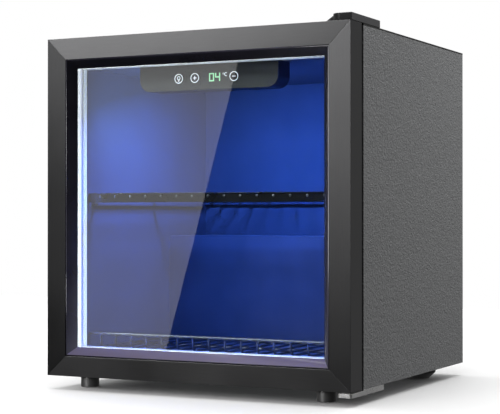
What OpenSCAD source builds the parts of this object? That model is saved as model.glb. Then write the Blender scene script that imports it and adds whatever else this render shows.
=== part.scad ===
// Glass-door mini fridge: insulated case, glazed door, cooling circuit, wire shelves and controls.
// Millimetres, +Z up. The door faces -Y, and its hinges are on the +X side.
// The origin is on the floor, under the middle of the fridge.

/* [Overall] */
// Width of the case and the door
body_w = 430; // [380:1:520]
// Height of the case above its feet
body_h = 439.5; // [360:0.5:620]
// Depth of the case behind the door
case_d = 366.8; // [330:0.1:460]
// Depth that the condenser takes behind the case
rear_d = 34; // [28:1:50]
// Height of the feet
foot_h = 18; // [15:1:30]

/* [Case] */
// Thickness of the outer sheet
sheet_t = 0.8; // [0.6:0.1:1.2]
// Thickness of the top panel
top_t = 2; // [1.5:0.1:4]
// Width of the fold along the front edge of each side
fold_w = 16; // [10:1:20]
// Side wall, from the outside to the liner
wall_side = 35; // [30:1:45]
// Top wall, from the outside to the liner
wall_top = 37.5; // [30:0.5:50]
// Floor under the liner
wall_floor = 30; // [24:1:40]
// Back wall, from the outside to the liner
wall_back = 40; // [30:1:50]
// Thickness of the inner liner
liner_t = 2; // [1.5:0.1:3]
// Thickness of the trim round the mouth of the case
trim_t = 3; // [2:0.1:5]
// Depth of the compressor space at the lower back
niche_d = 120; // [116:1:150]
// Height of the compressor space
niche_h = 150; // [148:1:180]

/* [Door] */
// Thickness of the door
door_t = 34; // [30:1:45]
// Gap between the door and the case
door_gap = 5.2; // [4:0.1:8]
// Play above and below the door
door_play = 0.3; // [0.2:0.1:1]
// Face width of the stiles and the top rail
frame_w = 27.8; // [26:0.1:40]
// Face width of the bottom rail
frame_bottom_w = 26; // [25:0.1:40]
// Wall of the hollow frame bars
frame_wall = 2; // [1.5:0.1:3]
// Width of the bevel between the frame and the glass
bevel_w = 11.3; // [6:0.1:20]
// Depth of the glass behind the front of the door
bevel_d = 12; // [6:0.1:14]
// Width of the flat rim round the bevel
rim_w = 2; // [1:0.1:4]
// Thickness of each pane
pane_t = 3.2; // [3:0.1:4]
// Space between the panes
pane_gap = 9; // [6:1:10]
// Width of the seal round the edges of the panes
edge_seal_w = 3.2; // [2:0.1:5]
// Width of the door gasket
gasket_w = 16; // [12:1:18]

/* [Hinges] */
// Distance from the side of the door to the hinge pins
pin_inset_x = 12; // [11:0.5:14]
// Distance from the front of the door to the hinge pins
pin_inset_y = 15; // [14:0.5:17]
// Diameter of the hinge pins
pin_d = 8; // [6:0.5:9]
// Outer diameter of the hinge bushes
bush_d = 14; // [12:0.5:16]
// Running clearance of a pin in its bush
pin_clear = 0.05; // [0.02:0.01:0.1]
// Thickness of the upper hinge plate
top_plate_t = 2.5; // [2:0.1:3.5]
// Height of the upper hinge cover
cover_h = 9.5; // [8:0.5:14]
// Thickness of the lower hinge plate
low_plate_t = 5.4; // [3:0.1:6]
// Length of the lower hinge plate
low_plate_l = 101.6; // [90:0.1:130]

/* [Shelves and controls] */
// Diameter of the shelf wires
wire_d = 3; // [2.5:0.1:4]
// Spacing of the shelf wires
wire_pitch = 23.1; // [20:0.1:30]
// Height of the shelf rail's lower edge above the base of the case
shelf_h = 226; // [200:1:300]
// Height of the shelf rail
rail_h = 12; // [10:0.5:20]
// Half width of the control box
control_x = 99.6; // [80:0.1:120]
// Height of the control box
control_h = 33.3; // [30:0.1:45]
// Depth of the control box
control_d = 34; // [28:1:60]
// Diameter of the buttons
button_d = 15.2; // [14:0.1:17]
// Travel of the buttons
button_travel = 0.8; // [0.4:0.1:1.5]

/* [Hidden] */
$fn = 48;

// The case
side_x = body_w / 2;
front_y = -(door_t + door_gap + case_d + rear_d) / 2;
door_back_y = front_y + door_t;
case_y = door_back_y + door_gap;
case_back_y = case_y + case_d;
case_z = foot_h;
case_top_z = foot_h + body_h;
panel_x = side_x - sheet_t;
panel_top_z = case_top_z - top_t;
mouth_y = case_y + trim_t;
inner_x = side_x - wall_side;
floor_z = case_z + wall_floor;
ceiling_z = case_top_z - wall_top;
cavity_back_y = case_back_y - wall_back;
niche_y = case_back_y - niche_d;
niche_z = case_z + niche_h;
hump_y = niche_y - wall_floor;
hump_z = niche_z + wall_floor;
gap = 0.3;

// The door
door_z = case_z + door_play;
door_top_z = case_top_z - door_play;
door_h = door_top_z - door_z;
open_x = side_x - frame_w;
open_z = door_z + frame_bottom_w;
open_top_z = door_top_z - frame_w;
glass_y = front_y + bevel_d;
inner_pane_y = glass_y + pane_t + pane_gap;
pane_back_y = inner_pane_y + pane_t;
pane_x = open_x - edge_seal_w;
pane_z = open_z + edge_seal_w;
pane_top_z = open_top_z - edge_seal_w;
gasket_x = side_x - pin_inset_x - 3;
gasket_end_y = case_y - gap;

// Hinges
pin_x = side_x - pin_inset_x;
pin_y = front_y + pin_inset_y;
pin_l = 12;
bush_l = 14;
hinge_screw_d = 5;
screw_l = 16;
top_plate_w = 20;
top_plate_back_y = case_y + 54;
top_screw_y = [case_y + 14, case_y + 40];
cover_w = 28.5;
cover_flank = 13.5;
cover_y = front_y + 3;
cover_back_y = case_y + 57.1;
cover_wall = 1.5;
low_plate_w = 19;
low_plate_y = front_y + 3;
low_plate_z = case_z - 1.3 - low_plate_t;
low_plate_r = 3;
low_screw_y = [case_y + 22, case_y + 46];

// Shelves and controls
shelf_z = case_z + shelf_h;
shelf_y = mouth_y + 1.8;
rail_t = 3;
shelf_half_w = inner_x - 1;
wire_count = 2 * floor((shelf_half_w - 15) / wire_pitch) + 1;
wire_z = shelf_z + rail_h * 0.64;
rod_d = 4;
shelf_back_y = cavity_back_y - 6;
rack_z = floor_z + rod_d + wire_d / 2;
rack_back_y = hump_y - 8;
rack_bend_r = 9;
rack_y = shelf_y + rack_bend_r + 2;
rack_front_rise = 18;
control_y = mouth_y + gap;
control_z = ceiling_z - control_h;
control_r = 15;
fascia_t = 2;
shell_t = 2;
board_t = 1.6;
board_y = control_y + fascia_t + 9.2 + button_travel;
lamp_y = control_y + control_d + 4;
lamp_half_w = 70;
lamp_d = 24;
lamp_h = 7;
lamp_wall = 1.5;
icon_z = control_z + 15.3;
button_places = [-41.7, -18.2, 38];
digit_places = [2.5, 11.2];
digit_w = 7.1;
digit_h = 10.5;
stroke = 1.5;

// Feet
foot_d = 24;
foot_y = case_y + 11.8;
foot_places = [-(side_x - 33), side_x - 54];
stud_d = 8;
stud_l = 24;
insert_d = stud_d + 8;
rear_foot_x = side_x - 43;
rear_foot_y = case_back_y - 62;
rear_foot_r = 13;
rear_foot_top_r = 23;

// Cooling circuit
tray_t = 1.5;
comp_x = -35;
comp_y = niche_y + 60;
mount_h = 10;
mount_x = 56;
mount_y = 34;
shell_z = case_z + tray_t + mount_h;
shell_r = 48;
shell_h = 96;
pipe_r = 3;
coil_r = 2.5;
rear_wire_r = 0.9;
coil_y = case_back_y + rear_d - coil_r - 2 * rear_wire_r - 0.05;
coil_half_w = side_x - 55;
coil_pitch = 36;
coil_z = niche_z + 22;
coil_runs = floor((panel_top_z - 14 - coil_z) / coil_pitch) + 1;
coil_top_z = coil_z + (coil_runs - 1) * coil_pitch;
rear_wire_count = 25;
plate_y = cavity_back_y + liner_t;
plate_half_w = inner_x - 40;
plate_z = hump_z + 24;
plate_top_z = ceiling_z - 20;
plate_t = 1.5;
evap_pitch = 30;
evap_runs = floor((plate_top_z - plate_z - 20) / evap_pitch) + 1;
capillary_r = 1.2;
loop_r = 20;
drain_x = -142;
drain_y = cavity_back_y - 8;
drain_r = 5;
drip_z = niche_z - 26;
drip_size = [70, 60, 18];
drip_wall = 2;
inlet_x = 150;
inlet_size = [30, 22, 24];
drier_x = side_x - 60;
drier_y = niche_y + 26;
drier_z = case_z + 40;
drier_l = 70;

// A bar of a mitred frame: it lies along X from its outer edge at z = 0, and its ends slope inwards
module mitred_bar(len, w, in_left, in_right, y0, y1) {
  translate([0, y1, 0]) rotate([90, 0, 0]) linear_extrude(y1 - y0)
    polygon([[-len / 2, 0], [len / 2, 0], [len / 2 - in_right, w], [-len / 2 + in_left, w]]);
}

// A mitred bar, hollow along its length
module frame_bar(len, w, in_left, in_right) {
  difference() {
    mitred_bar(len, w, in_left, in_right, front_y, door_back_y);
    translate([-len / 2 - 1, front_y + frame_wall, frame_wall])
      cube([len + 2, door_t - 2 * frame_wall, w - 2 * frame_wall]);
  }
}

// A rectangular ring in the plane of the door
module ring(x, z0, z1, w, y0, y1) {
  difference() {
    translate([-x, y0, z0]) cube([2 * x, y1 - y0, z1 - z0]);
    translate([-x + w, y0 - 1, z0 + w]) cube([2 * (x - w), y1 - y0 + 2, z1 - z0 - 2 * w]);
  }
}

// A slab between two corners
module slab(a, b) {
  translate(a) cube(b - a);
}

// Runs along X joined by half circles, rising from z = 0
module serpentine(half_w, pitch, runs, r) {
  for (i = [0:runs - 1]) translate([-half_w, 0, i * pitch]) rotate([0, 90, 0]) cylinder(r = r, h = 2 * half_w);
  for (i = [0:runs - 2]) {
    side = i % 2 == 0 ? 1 : -1;
    translate([side * half_w, 0, (i + 0.5) * pitch]) rotate([90, 0, 0]) rotate([0, 0, -90 * side])
      rotate_extrude(angle = 180) translate([pitch / 2, 0]) circle(r = r);
  }
}

// A straight rod between two points
module rod(a, b, r) {
  v = b - a;
  len = norm(v);
  translate(a) rotate([0, acos(v[2] / len), atan2(v[1], v[0])]) cylinder(r = r, h = len);
}

// A bent pipe: rods through the points, with a brazed swelling at each bend
module pipe(points, r) {
  for (i = [0:len(points) - 2]) rod(points[i], points[i + 1], r);
  for (i = [1:1:len(points) - 2]) translate(points[i]) sphere(r = r * 1.12);
}

// Holes or screws at the places of the upper hinge
module at_top_screws() {
  for (y = top_screw_y) translate([pin_x - 3, y, 0]) children();
}

module at_low_screws() {
  for (y = low_screw_y) translate([side_x - low_plate_w / 2, y, 0]) children();
}

module at_feet() {
  for (x = foot_places) translate([x, foot_y, 0]) children();
}

// Section of the cold space, seen from the side, grown outwards by g
module cavity_section(g) {
  polygon([[mouth_y, floor_z - g], [hump_y + g, floor_z - g], [hump_y + g, hump_z - g],
    [cavity_back_y + g, hump_z - g], [cavity_back_y + g, ceiling_z + g], [mouth_y, ceiling_z + g]]);
}

// Extrudes a section drawn in Y and Z along X, centred
module along_x(w) {
  rotate([90, 0, 90]) translate([0, 0, -w / 2]) linear_extrude(w) children();
}

module side_sheet(side) {
  color("dimgray") union() {
    slab([side * side_x - (side > 0 ? sheet_t : 0), case_y, case_z],
      [side * side_x + (side > 0 ? 0 : sheet_t), case_back_y, panel_top_z]);
    slab([side * side_x - (side > 0 ? fold_w : 0), case_y, case_z],
      [side * side_x + (side > 0 ? 0 : fold_w), case_y + sheet_t, panel_top_z]);
  }
}

module side_panel_left() side_sheet(-1);

module side_panel_right() side_sheet(1);

module top_panel() {
  color("black") difference() {
    slab([-side_x, case_y, panel_top_z], [side_x, case_back_y, case_top_z]);
    at_top_screws() translate([0, 0, panel_top_z - 1]) cylinder(d = hinge_screw_d, h = top_t + 2);
  }
}

module back_panel() {
  color("silver") slab([-panel_x, case_back_y - sheet_t, niche_z], [panel_x, case_back_y, panel_top_z]);
}

module base_pan() {
  color("silver") difference() {
    slab([-panel_x, case_y + sheet_t, case_z], [panel_x, niche_y, case_z + sheet_t]);
    at_feet() translate([0, 0, case_z - 1]) cylinder(d = stud_d + 1, h = sheet_t + 2);
    at_low_screws() translate([0, 0, case_z - 1]) cylinder(d = hinge_screw_d, h = sheet_t + 2);
  }
}

module niche_wall() {
  color("silver") slab([-panel_x, niche_y, case_z], [panel_x, niche_y + sheet_t, niche_z]);
}

module niche_roof() {
  color("silver") difference() {
    slab([-panel_x, niche_y + sheet_t, niche_z - sheet_t], [panel_x, case_back_y, niche_z]);
    translate([drain_x, drain_y, niche_z - 5]) cylinder(r = drain_r, h = 10);
  }
}

module insulation_foam() {
  color("khaki") difference() {
    slab([-panel_x, mouth_y, case_z + sheet_t], [panel_x, case_back_y - sheet_t, panel_top_z]);
    slab([-panel_x - 1, niche_y, 0], [panel_x + 1, case_back_y, niche_z]);
    along_x(2 * (inner_x + liner_t)) cavity_section(liner_t);
    slab([-plate_half_w - 20, plate_y - 0.5, plate_z - 20],
      [plate_half_w + 20, plate_y + plate_t + 8, plate_top_z + 4]);
    translate([drain_x, drain_y, niche_z - 1]) cylinder(r = drain_r, h = wall_floor + 2);
    at_feet() translate([0, 0, case_z]) cylinder(d = insert_d, h = stud_l + 4);
    at_low_screws() translate([0, 0, case_z]) cylinder(d = hinge_screw_d, h = screw_l);
    at_top_screws() translate([0, 0, case_top_z - screw_l]) cylinder(d = hinge_screw_d, h = screw_l);
  }
}

module inner_liner() {
  color("midnightblue") difference() {
    along_x(2 * (inner_x + liner_t)) cavity_section(liner_t);
    difference() {
      along_x(2 * inner_x) union() {
        cavity_section(0);
        translate([mouth_y - 2, floor_z]) square([4, ceiling_z - floor_z]);
      }
      for (side = [-1, 1])
        slab([side * inner_x - 5, mouth_y + 10, wire_z - wire_d / 2 - rod_d - 6],
          [side * inner_x + 5, cavity_back_y - 12, wire_z - wire_d / 2 - rod_d]);
    }
    translate([drain_x, drain_y, hump_z - 10]) cylinder(r = drain_r, h = 20);
  }
}

module throat_trim() {
  color("black") difference() {
    slab([-side_x + fold_w, case_y, case_z + sheet_t], [side_x - fold_w, mouth_y, panel_top_z]);
    slab([-inner_x, case_y - 1, floor_z], [inner_x, mouth_y + 1, ceiling_z]);
  }
}

module evaporator_plate() {
  color("silver") slab([-plate_half_w, plate_y, plate_z], [plate_half_w, plate_y + plate_t, plate_top_z]);
}

module evaporator_coil() {
  color("chocolate") translate([0, plate_y + plate_t + pipe_r + 0.05, plate_z + 10])
    serpentine(plate_half_w - 16, evap_pitch, evap_runs, pipe_r);
}

// Outline of the control box, with its two lower corners rounded
module control_outline(inset) {
  r = control_r - inset;
  w = control_x - inset;
  h = control_h - inset;
  translate([-w, r]) square([2 * w, h - r]);
  translate([-w + r, 0]) square([2 * (w - r), h]);
  for (side = [-1, 1]) translate([side * (w - r), r]) circle(r = r);
}

module control_slice(inset, y0, y1) {
  translate([0, y1, control_z + inset]) rotate([90, 0, 0]) linear_extrude(y1 - y0) control_outline(inset);
}

module control_housing() {
  color("black") difference() {
    control_slice(0, control_y + fascia_t, control_y + control_d);
    difference() {
      control_slice(shell_t, control_y, control_y + control_d - shell_t);
      slab([-control_x, control_y, ceiling_z - shell_t], [control_x, control_y + control_d, ceiling_z + 1]);
    }
  }
}

module control_fascia() {
  color("darkslategray") difference() {
    control_slice(0, control_y, control_y + fascia_t);
    for (x = button_places) translate([x, control_y - 1, icon_z]) rotate([-90, 0, 0])
      cylinder(d = button_d + 2 * gap, h = fascia_t + 2);
  }
}

module button(i) {
  color("black") translate([button_places[i], control_y - 0.4, icon_z]) rotate([-90, 0, 0]) {
    cylinder(d = button_d, h = fascia_t + 0.7);
    translate([0, 0, fascia_t + 0.6]) cylinder(d = button_d + 3, h = 1.2);
    cylinder(d = 5, h = fascia_t + 4);
  }
}

module button_light() button(0);

module button_plus() button(1);

module button_minus() button(2);

// One digit of seven strokes; on lists the strokes that are lit: top, middle, bottom, then the four sides
module digit(on) {
  mid = (digit_h - stroke) / 2;
  if (on[0]) translate([0, digit_h - stroke]) square([digit_w, stroke]);
  if (on[1]) translate([0, mid]) square([digit_w, stroke]);
  if (on[2]) square([digit_w, stroke]);
  if (on[3]) translate([0, mid]) square([stroke, digit_h - mid]);
  if (on[4]) translate([digit_w - stroke, mid]) square([stroke, digit_h - mid]);
  if (on[5]) square([stroke, mid + stroke]);
  if (on[6]) translate([digit_w - stroke, 0]) square([stroke, mid + stroke]);
}

module display_digits() {
  lit = [[true, false, true, true, true, true, true], [false, true, false, true, true, false, true]];
  color("springgreen") for (i = [0, 1])
    translate([digit_places[i], control_y, icon_z - digit_h / 2]) rotate([90, 0, 0])
      linear_extrude(0.3) digit(lit[i]);
}

module circuit_boards() {
  color("darkgreen") union() {
    slab([-control_x + 24, board_y, control_z + 4], [control_x - 24, board_y + board_t, ceiling_z - 4]);
    slab([-lamp_half_w + 4, lamp_y + 4, ceiling_z - board_t],
      [lamp_half_w - 4, lamp_y + lamp_d - 4, ceiling_z]);
    for (i = [-4:4]) slab([i * 14 - 2.5, lamp_y + 9.5, ceiling_z - board_t - 1],
      [i * 14 + 2.5, lamp_y + 14.5, ceiling_z - board_t]);
  }
}

module lamp_diffuser() {
  color("lightblue") difference() {
    slab([-lamp_half_w, lamp_y, ceiling_z - lamp_h], [lamp_half_w, lamp_y + lamp_d, ceiling_z]);
    slab([-lamp_half_w + lamp_wall, lamp_y + lamp_wall, ceiling_z - lamp_h + lamp_wall],
      [lamp_half_w - lamp_wall, lamp_y + lamp_d - lamp_wall, ceiling_z + 1]);
  }
}

module temperature_probe() {
  color("silver") translate([inner_x, cavity_back_y - 60, ceiling_z - 90]) union() {
    slab([-4, -8, -6], [0, 8, 18]);
    translate([-6, 0, -8]) cylinder(d = 6, h = 28);
  }
}

module shelf_wires(z, y0, y1, rods) {
  for (i = [0:wire_count - 1]) translate([(i - (wire_count - 1) / 2) * wire_pitch, y0, z])
    rotate([-90, 0, 0]) cylinder(d = wire_d, h = y1 - y0);
  for (y = rods) translate([-shelf_half_w, y, z - (wire_d + rod_d) / 2 + 0.05]) rotate([0, 90, 0])
    cylinder(d = rod_d, h = 2 * shelf_half_w);
}

module upper_shelf_wires() {
  color("gray") shelf_wires(wire_z, shelf_y - 0.6, shelf_back_y,
    [shelf_y + 14, (shelf_y + shelf_back_y) / 2, shelf_back_y - 5]);
}

module upper_shelf_rail() {
  color("dimgray") difference() {
    slab([-shelf_half_w, shelf_y, shelf_z], [shelf_half_w, shelf_y + rail_t, shelf_z + rail_h]);
    for (i = [0:wire_count - 1]) translate([(i - (wire_count - 1) / 2) * wire_pitch, shelf_y - 1, wire_z])
      rotate([-90, 0, 0]) cylinder(d = wire_d, h = rail_t + 2);
  }
}

module lower_rack_wires() {
  color("gray") shelf_wires(rack_z, rack_y, rack_back_y,
    [rack_y + 8, (rack_y + rack_back_y) / 2, rack_back_y - 5]);
}

module lower_rack_front() {
  color("gray") union() {
    for (i = [0:wire_count - 1]) translate([(i - (wire_count - 1) / 2) * wire_pitch, 0, 0]) {
      translate([0, rack_y, rack_z + rack_bend_r]) rotate([0, 90, 0]) rotate([0, 0, -90])
        rotate_extrude(angle = 90) translate([rack_bend_r, 0]) circle(d = wire_d);
      translate([0, rack_y - rack_bend_r, rack_z + rack_bend_r])
        cylinder(d = wire_d, h = rack_front_rise - rack_bend_r);
    }
    translate([-shelf_half_w, rack_y - rack_bend_r, rack_z + rack_front_rise]) rotate([0, 90, 0])
      cylinder(d = rod_d, h = 2 * shelf_half_w);
  }
}

module top_hinge_plate() {
  color("silver") difference() {
    union() {
      slab([pin_x - top_plate_w / 2, pin_y, case_top_z],
        [side_x - 3, top_plate_back_y, case_top_z + top_plate_t]);
      translate([pin_x, pin_y, case_top_z]) cylinder(r = side_x - 3 - pin_x, h = top_plate_t);
      translate([pin_x, pin_y, door_top_z - pin_l])
        cylinder(d = pin_d, h = case_top_z - door_top_z + pin_l + 1);
    }
    at_top_screws() translate([0, 0, case_top_z - 1]) cylinder(d = hinge_screw_d, h = top_plate_t + 2);
  }
}

module top_hinge_screws() {
  color("silver") at_top_screws() union() {
    translate([0, 0, case_top_z + top_plate_t - screw_l]) cylinder(d = hinge_screw_d, h = screw_l);
    translate([0, 0, case_top_z + top_plate_t]) cylinder(d = 9, h = 3);
  }
}

// Plan of the hinge cover: a nose rounded on one side only, and a rounded rear corner
module cover_plan(inset) {
  r = cover_w / 2 - inset;
  rr = 5 - inset;
  x1 = side_x - inset;
  x0 = side_x - cover_w + inset;
  translate([x0 + r, cover_y + inset + r]) circle(r = r);
  translate([x0 + r, cover_y + inset]) square([r, r + 1]);
  translate([x0, cover_y + inset + r]) square([2 * r, cover_back_y - cover_y - 2 * inset - r - rr]);
  translate([x0, cover_back_y - inset - rr - 1]) square([x1 - rr - x0, rr + 1]);
  translate([x1 - rr, cover_back_y - inset - rr]) circle(r = rr);
}

module top_hinge_cover() {
  z = case_top_z + gap;
  color("black") difference() {
    union() {
      translate([0, 0, z]) linear_extrude(cover_h - gap) cover_plan(0);
      translate([0, cover_back_y, 0]) rotate([90, 0, 0]) linear_extrude(cover_back_y - cover_y - cover_w / 2)
        polygon([[side_x - cover_w - cover_flank, z], [side_x - cover_w + 1, z],
          [side_x - cover_w + 1, case_top_z + cover_h], [side_x - cover_w, case_top_z + cover_h]]);
    }
    translate([0, 0, z - 1]) linear_extrude(cover_h - gap + 1 - cover_wall) cover_plan(cover_wall);
  }
}

module bottom_hinge_plate() {
  x0 = side_x - low_plate_w;
  r = low_plate_r;
  color("silver") difference() {
    union() {
      for (x = [x0 + r, side_x - r]) translate([x, low_plate_y + r, low_plate_z])
        cylinder(r = r, h = low_plate_t);
      slab([x0 + r, low_plate_y, low_plate_z], [side_x - r, low_plate_y + r + 1, low_plate_z + low_plate_t]);
      slab([x0, low_plate_y + r, low_plate_z], [side_x, low_plate_y + low_plate_l, low_plate_z + low_plate_t]);
      slab([x0, case_y + sheet_t, low_plate_z + low_plate_t], [side_x, low_plate_y + low_plate_l, case_z]);
      translate([pin_x, pin_y, low_plate_z]) cylinder(d = pin_d, h = door_z + pin_l - low_plate_z);
      translate([pin_x, pin_y, low_plate_z]) cylinder(d = pin_d + 4, h = case_z - low_plate_z);
    }
    at_low_screws() translate([0, 0, low_plate_z - 1]) cylinder(d = hinge_screw_d, h = foot_h);
  }
}

module bottom_hinge_screws() {
  color("silver") at_low_screws() union() {
    translate([0, 0, low_plate_z]) cylinder(d = hinge_screw_d, h = screw_l);
    translate([0, 0, low_plate_z - 2.5]) cylinder(d = 9, h = 2.5);
  }
}

module foot_inserts() {
  color("goldenrod") at_feet() difference() {
    translate([0, 0, case_z + sheet_t]) cylinder(d = insert_d, h = stud_l);
    translate([0, 0, case_z]) cylinder(d = stud_d + 2 * pin_clear, h = stud_l + 2);
  }
}

module levelling_foot(i) {
  color("black") translate([foot_places[i], foot_y, 0]) union() {
    cylinder(d = foot_d, h = foot_h - 4);
    translate([0, 0, foot_h - 4]) cylinder(d = foot_d * 0.7, h = 4);
    cylinder(d = stud_d, h = foot_h + stud_l - 3);
  }
}

module foot_left() levelling_foot(0);

module foot_right() levelling_foot(1);

module rear_feet() {
  color("black") for (side = [-1, 1]) translate([side * rear_foot_x, rear_foot_y, 0]) union() {
    cylinder(r1 = rear_foot_r, r2 = rear_foot_top_r, h = foot_h / 2);
    translate([0, 0, foot_h / 2]) cylinder(r = rear_foot_top_r, h = foot_h / 2);
  }
}

module at_mounts() {
  for (x = [-1, 1]) for (y = [-1, 1]) translate([comp_x + x * mount_x, comp_y + y * mount_y, 0]) children();
}

module compressor_tray() {
  color("silver") union() {
    slab([-panel_x, niche_y + sheet_t, case_z], [panel_x, case_back_y, case_z + tray_t]);
    slab([-panel_x, case_back_y - tray_t, case_z + tray_t], [panel_x, case_back_y, case_z + 12]);
  }
}

module compressor_mounts() {
  color("black") at_mounts() translate([0, 0, case_z + tray_t]) union() {
    cylinder(d = 18, h = mount_h - 3);
    cylinder(d = 12, h = mount_h);
  }
}

module compressor_shell() {
  r = 18;
  color("black") translate([comp_x, comp_y, shell_z]) union() {
    translate([0, 0, 4]) rotate_extrude() union() {
      square([shell_r - r, shell_h]);
      translate([0, r]) square([shell_r, shell_h - 2 * r]);
      for (z = [r, shell_h - r]) translate([shell_r - r, z]) circle(r = r);
      translate([0, shell_h / 2]) square([shell_r + 3, 4]);
    }
    difference() {
      slab([-mount_x - 8, -mount_y - 8, 0], [mount_x + 8, mount_y + 8, 3]);
      for (x = [-1, 1]) for (y = [-1, 1]) translate([x * mount_x, y * mount_y, -1]) cylinder(d = 6, h = 5);
    }
    cylinder(r = 34, h = 6);
  }
}

module compressor_relay_box() {
  color("dimgray") translate([comp_x + shell_r + 3, comp_y - 20, shell_z + 24]) cube([26, 40, 46]);
}

module suction_pipe() {
  top = shell_z + 4 + shell_h - 10;
  color("chocolate") pipe([[comp_x - shell_r + 14, comp_y - 12, top], [comp_x - shell_r + 14, comp_y - 12, top + 20],
    [comp_x - 60, comp_y - 12, top + 20], [comp_x - 60, comp_y - 12, niche_z - sheet_t]], pipe_r);
}

module discharge_pipe() {
  low = shell_z + 30;
  coil_end = [-coil_half_w, coil_y, coil_z];
  color("chocolate") pipe([[comp_x - shell_r + 4, comp_y + 8, low], [comp_x - 76, comp_y + 8, low],
    [comp_x - 76, comp_y + 30, low], [-coil_half_w - 16, comp_y + 30, low],
    [-coil_half_w - 16, coil_y, low], [-coil_half_w - 16, coil_y, coil_z], coil_end - [0.2, 0, 0]], coil_r);
}

module filter_drier() {
  color("chocolate") translate([drier_x, drier_y, drier_z]) union() {
    cylinder(r = 9, h = drier_l);
    translate([0, 0, -8]) cylinder(r = 4, h = 10);
    translate([0, 0, drier_l - 2]) cylinder(r = 4, h = 10);
  }
}

module capillary_tube() {
  z = drier_z + drier_l + 8;
  color("chocolate") union() {
    pipe([[drier_x, drier_y, z], [drier_x, drier_y, z + 12], [drier_x - 30, drier_y, z + 12],
      [drier_x - 30, drier_y, z - 8]], capillary_r);
    for (i = [-1:1]) translate([drier_x - 30 - loop_r, drier_y + i * 1.9 * capillary_r, z - 8]) rotate([90, 0, 0])
      rotate_extrude() translate([loop_r, 0]) circle(r = capillary_r);
  }
}

module condenser_coil() {
  color("black") union() {
    translate([0, coil_y, coil_z]) serpentine(coil_half_w, coil_pitch, coil_runs, coil_r);
  }
}

module condenser_wires() {
  step = 2 * (coil_half_w - 8) / (rear_wire_count - 1);
  color("black") for (i = [0:rear_wire_count - 1])
    translate([-coil_half_w + 8 + i * step, coil_y + coil_r + rear_wire_r + 0.05, coil_z - 10])
      cylinder(r = rear_wire_r, h = coil_top_z - coil_z + 20);
}

// Upright straps behind the back panel, on standoffs, that carry the coil
module condenser_brackets() {
  strap_y = coil_y - coil_r - 0.05;
  strap_t = 2;
  color("black") for (side = [-1, 1]) {
    x = side * (coil_half_w - 22) - 5;
    slab([x, strap_y - strap_t, coil_z - 14], [x + 10, strap_y, coil_top_z + 14]);
    for (z = [coil_z - 14, coil_top_z + 2]) slab([x, case_back_y, z], [x + 10, strap_y - strap_t, z + 12]);
  }
}

module drip_tray() {
  w = drip_size[0] / 2;
  d = drip_size[1] / 2;
  color("dimgray") translate([drain_x, drain_y, drip_z]) union() {
    difference() {
      slab([-w, -d, 0], [w, d, drip_size[2]]);
      slab([-w + drip_wall, -d + drip_wall, drip_wall], [w - drip_wall, d - drip_wall, drip_size[2] + 1]);
    }
    for (x = [-w, w - drip_wall]) slab([x, -10, drip_size[2] - 1], [x + drip_wall, 10, niche_z - sheet_t - drip_z]);
  }
}

module drain_tube() {
  color("white") translate([drain_x, drain_y, niche_z - 14]) difference() {
    cylinder(r = drain_r, h = 14 + wall_floor - 1);
    translate([0, 0, -1]) cylinder(r = drain_r - 1.2, h = 16 + wall_floor);
  }
}

module power_inlet() {
  color("black") translate([inlet_x, case_back_y - tray_t - inlet_size[1], case_z + tray_t]) difference() {
    translate([-inlet_size[0] / 2, 0, 0]) cube(inlet_size);
    translate([-12, inlet_size[1] - 15, 13.5]) cube([24, 16, 9]);
    for (x = [-7, 0, 7]) translate([x - 1, 2, 17]) cube([2, 4, 3]);
  }
}

module door_top_rail() {
  color("dimgray") difference() {
    translate([0, 0, door_top_z]) mirror([0, 0, 1]) frame_bar(body_w, frame_w, frame_w, frame_w);
    translate([pin_x, pin_y, door_top_z - 5]) cylinder(d = bush_d, h = 10);
  }
}

module door_bottom_rail() {
  color("dimgray") difference() {
    translate([0, 0, door_z]) frame_bar(body_w, frame_bottom_w, frame_w, frame_w);
    translate([pin_x, pin_y, door_z - 5]) cylinder(d = bush_d, h = 10);
  }
}

module door_stile_latch() {
  color("dimgray") translate([-side_x, 0, door_z + door_h / 2]) rotate([0, 90, 0])
    frame_bar(door_h, frame_w, frame_w, frame_bottom_w);
}

module door_stile_hinge() {
  color("dimgray") translate([side_x, 0, door_z + door_h / 2]) rotate([0, -90, 0])
    frame_bar(door_h, frame_w, frame_bottom_w, frame_w);
}

// Corner pieces inside the hollow bars, bored for the hinge bushes on the hinge side
module corner_keys() {
  play = frame_wall + 0.1;
  arm = 46;
  upright_w = frame_w * (frame_bottom_w - frame_wall) / frame_bottom_w - 0.1 - play;
  color("gray") difference() {
    for (side = [-1, 1]) for (up = [false, true]) {
      z = up ? door_top_z - play : door_z + play;
      h = (up ? frame_w : frame_bottom_w) - 2 * play;
      translate([side * (side_x - play), front_y + play, z]) scale([-side, 1, up ? -1 : 1]) union() {
        cube([arm, door_t - 2 * play, h]);
        cube([upright_w, door_t - 2 * play, arm]);
      }
    }
    for (z = [door_z, door_top_z - bush_l]) translate([pin_x, pin_y, z]) cylinder(d = bush_d, h = bush_l);
  }
}

module hinge_bushes() {
  color("white") for (z = [door_z, door_top_z - bush_l]) translate([pin_x, pin_y, z]) difference() {
    cylinder(d = bush_d, h = bush_l);
    translate([0, 0, -1]) cylinder(d = pin_d + 2 * pin_clear, h = bush_l + 2);
  }
}

// One side of the bevel: a wedge along X that slopes from the rim down to the glass
module bevel_bar(len) {
  intersection() {
    mitred_bar(len, bevel_w, bevel_w, bevel_w, front_y, glass_y);
    along_x(len) polygon([[front_y + 0.4, 0], [front_y + 0.4, rim_w], [glass_y - 0.5, bevel_w],
      [glass_y, bevel_w], [glass_y, 0]]);
  }
}

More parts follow.
